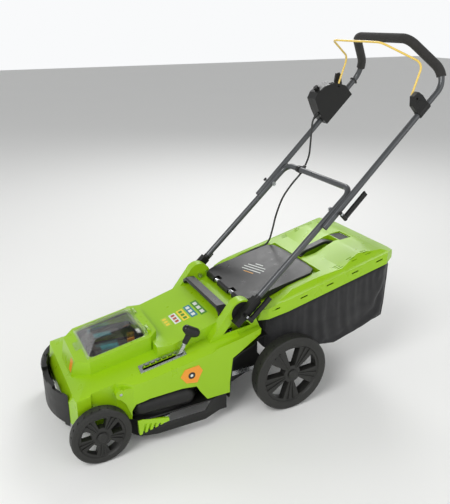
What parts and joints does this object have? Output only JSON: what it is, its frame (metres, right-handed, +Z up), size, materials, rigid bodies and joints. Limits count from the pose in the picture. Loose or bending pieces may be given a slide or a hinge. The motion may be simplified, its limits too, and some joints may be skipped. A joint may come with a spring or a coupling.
{
  "type": "push lawn mower",
  "caption": "Cordless push lawn mower with folding tube handle, switch bail, height lever, battery bay under a clear lid, rear flap and soft grass bag.",
  "frame": {"origin": "on the ground, under the middle of the bounding box", "axes": "+Z up, the mower's front towards -Y, its left side towards +X"},
  "size_m": [0.5062, 1.2412, 1.1118],
  "materials": {
    "green_plastic": "moulded, glossy lime green",
    "black_plastic": "moulded, fine texture",
    "dark_plastic": "moulded",
    "tube_paint": "satin powder coat",
    "steel": "zinc plated",
    "foam": "closed-cell foam",
    "yellow": "moulded over wire",
    "clear_lid": "clear polycarbonate",
    "bag_cloth": "woven, with a mesh look",
    "orange_label": "plain film label",
    "cable_sheath": "soft sheath"
  },
  "bodies": {
    "deck": {"deck_hood": "green_plastic", "cutting_deck": "black_plastic", "edge_combs": "green_plastic", "front_bumper": "black_plastic", "battery_tray": "black_plastic", "notch_plate": "steel", "carry_handle": "black_plastic", "rear_chute": "black_plastic", "axle_brackets": "black_plastic", "motor_housing": "black_plastic", "motor_controller": "black_plastic", "flap_pin": "steel", "flap_springs": "steel", "deck_screws": "steel", "pivot_discs": "black_plastic", "badges": "orange_label"},
    "flap": {"rear_flap": "black_plastic"},
    "rotor": {"motor_shaft": "steel", "blade_fan": "black_plastic", "blade": "steel", "blade_bolt": "steel"},
    "front_crank": {"front_axle": "steel"},
    "rear_crank": {"rear_axle": "steel"},
    "linkage": {"linkage_rod": "steel"},
    "lever": {"height_lever": "steel", "lever_knob": "black_plastic"},
    "front_wheel_l": {"front_wheel_left": "dark_plastic", "front_cap_left": "dark_plastic"},
    "front_wheel_r": {"front_wheel_right": "dark_plastic", "front_cap_right": "dark_plastic"},
    "rear_wheel_l": {"rear_wheel_left": "dark_plastic", "rear_cap_left": "dark_plastic"},
    "rear_wheel_r": {"rear_wheel_right": "dark_plastic", "rear_cap_right": "dark_plastic"},
    "pack_left": {"battery_left": "black_plastic"},
    "pack_right": {"battery_right": "black_plastic"},
    "key": {"safety_key": "orange_label"},
    "lid": {"battery_lid": "clear_lid"},
    "lower_handle": {"lower_frame": "tube_paint", "tube_sockets": "black_plastic", "lower_clamp_bolts": "steel", "cable_lower": "cable_sheath", "cable_clip": "black_plastic"},
    "lower_cam_l": {"lower_cam_left": "black_plastic"},
    "lower_cam_r": {"lower_cam_right": "black_plastic"},
    "handle_top": {"upper_handle": "tube_paint", "foam_grip": "foam", "switch_box": "black_plastic", "switch_cover": "black_plastic", "bail_bracket": "black_plastic", "upper_clamp_bolts": "steel", "cable_upper": "cable_sheath"},
    "upper_cam_l": {"upper_cam_left": "black_plastic"},
    "upper_cam_r": {"upper_cam_right": "black_plastic"},
    "button": {"lock_button": "black_plastic"},
    "bail": {"bail_lever": "yellow"},
    "bag": {"bag_lid": "green_plastic", "bag_fabric": "bag_cloth", "bag_handle": "black_plastic"},
    "bag_indicator": {"level_flap": "black_plastic"}
  },
  "joints": [
    {"name": "flap_hinge", "type": "hinge", "parent": "deck", "child": "flap", "pos_m": [0, -0.03259, 0.344], "axis": [1, 0, 0], "range_deg": [0, 60], "stiffness_Nm_per_rad": 0.9, "springref_deg": -22.92},
    {"name": "blade_spin", "type": "hinge", "parent": "deck", "child": "rotor", "pos_m": [0, -0.32459, 0.06], "axis": [0, 0, 1], "continuous": true},
    {"name": "height_lever_turn", "type": "hinge", "parent": "deck", "child": "lever", "pos_m": [0.165, -0.31959, 0.15], "axis": [1, 0, 0], "range_deg": [0, 62]},
    {"name": "front_crank_turn", "type": "hinge", "parent": "deck", "child": "front_crank", "pos_m": [0, -0.54544, 0.06646], "axis": [1, 0, 0], "range_deg": [-62, 0]},
    {"name": "rear_crank_turn", "type": "hinge", "parent": "deck", "child": "rear_crank", "pos_m": [0, 0.04856, 0.10646], "axis": [1, 0, 0], "range_deg": [-62, 0]},
    {"name": "linkage_pin", "type": "hinge", "parent": "front_crank", "child": "linkage", "pos_m": [0.151, -0.55781, 0.08703], "axis": [1, 0, 0], "range_deg": [0, 62]},
    {"name": "front_wheel_spin_l", "type": "hinge", "parent": "front_crank", "child": "front_wheel_l", "pos_m": [0.208, -0.51459, 0.085], "axis": [1, 0, 0], "continuous": true},
    {"name": "front_wheel_spin_r", "type": "hinge", "parent": "front_crank", "child": "front_wheel_r", "pos_m": [-0.208, -0.51459, 0.085], "axis": [1, 0, 0], "continuous": true},
    {"name": "rear_wheel_spin_l", "type": "hinge", "parent": "rear_crank", "child": "rear_wheel_l", "pos_m": [0.226, 0.07941, 0.125], "axis": [1, 0, 0], "continuous": true},
    {"name": "rear_wheel_spin_r", "type": "hinge", "parent": "rear_crank", "child": "rear_wheel_r", "pos_m": [-0.226, 0.07941, 0.125], "axis": [1, 0, 0], "continuous": true},
    {"name": "battery_lid_hinge", "type": "hinge", "parent": "deck", "child": "lid", "pos_m": [0, -0.32061, 0.29535], "axis": [-1, 0, 0], "range_deg": [0, 95]},
    {"name": "battery_lift_left", "type": "slide", "parent": "deck", "child": "pack_left", "axis": [0, 0, 1], "range_m": [0, 0.01]},
    {"name": "battery_lift_right", "type": "slide", "parent": "deck", "child": "pack_right", "axis": [0, 0, 1], "range_m": [0, 0.01]},
    {"name": "safety_key_lift", "type": "slide", "parent": "deck", "child": "key", "axis": [0, 0, 1], "range_m": [0, 0.008]},
    {"name": "lower_fold", "type": "hinge", "parent": "deck", "child": "lower_handle", "pos_m": [0, -0.05959, 0.336], "axis": [1, 0, 0], "range_deg": [0, 118], "deforming": ["cable_lower"]},
    {"name": "lower_cam_turn_left", "type": "hinge", "parent": "lower_handle", "child": "lower_cam_l", "pos_m": [0.2015, -0.05959, 0.336], "axis": [0, 0.6743, -0.7385], "range_deg": [0, 100]},
    {"name": "lower_cam_turn_right", "type": "hinge", "parent": "lower_handle", "child": "lower_cam_r", "pos_m": [-0.2015, -0.05959, 0.336], "axis": [0, -0.6743, 0.7385], "range_deg": [0, 100]},
    {"name": "upper_fold", "type": "hinge", "parent": "lower_handle", "child": "handle_top", "pos_m": [0, 0.24318, 0.61246], "axis": [1, 0, 0], "range_deg": [-70, 0], "deforming": ["cable_upper"]},
    {"name": "upper_cam_turn_left", "type": "hinge", "parent": "handle_top", "child": "upper_cam_l", "pos_m": [0.2209, 0.24318, 0.61246], "axis": [0, 0.6959, -0.7181], "range_deg": [0, 100]},
    {"name": "upper_cam_turn_right", "type": "hinge", "parent": "handle_top", "child": "upper_cam_r", "pos_m": [-0.2209, 0.24318, 0.61246], "axis": [0, -0.6959, 0.7181], "range_deg": [0, 100]},
    {"name": "lock_button_press", "type": "slide", "parent": "handle_top", "child": "button", "axis": [0, 0.6959, -0.7181], "range_m": [0, 0.005], "stiffness_N_per_m": 300, "springref_m": -0.002},
    {"name": "bail_swing", "type": "hinge", "parent": "handle_top", "child": "bail", "pos_m": [0, 0.50277, 0.93087], "axis": [-1, 0, 0], "range_deg": [0, 20], "stiffness_Nm_per_rad": 0.8, "springref_deg": -17.19},
    {"name": "bag_pull_off", "type": "slide", "parent": "deck", "child": "bag", "axis": [0, 0.9736, 0.2284], "range_m": [0, 0.4]},
    {"name": "level_flap_lift", "type": "hinge", "parent": "bag", "child": "bag_indicator", "pos_m": [0, 0.39441, 0.442], "axis": [1, 0, 0], "range_deg": [0, 30]}
  ],
  "couplings": [
    {"joint": "front_crank_turn", "follows": "height_lever_turn", "ratio": -1},
    {"joint": "rear_crank_turn", "follows": "height_lever_turn", "ratio": -1},
    {"joint": "linkage_pin", "follows": "height_lever_turn", "ratio": 1}
  ]
}
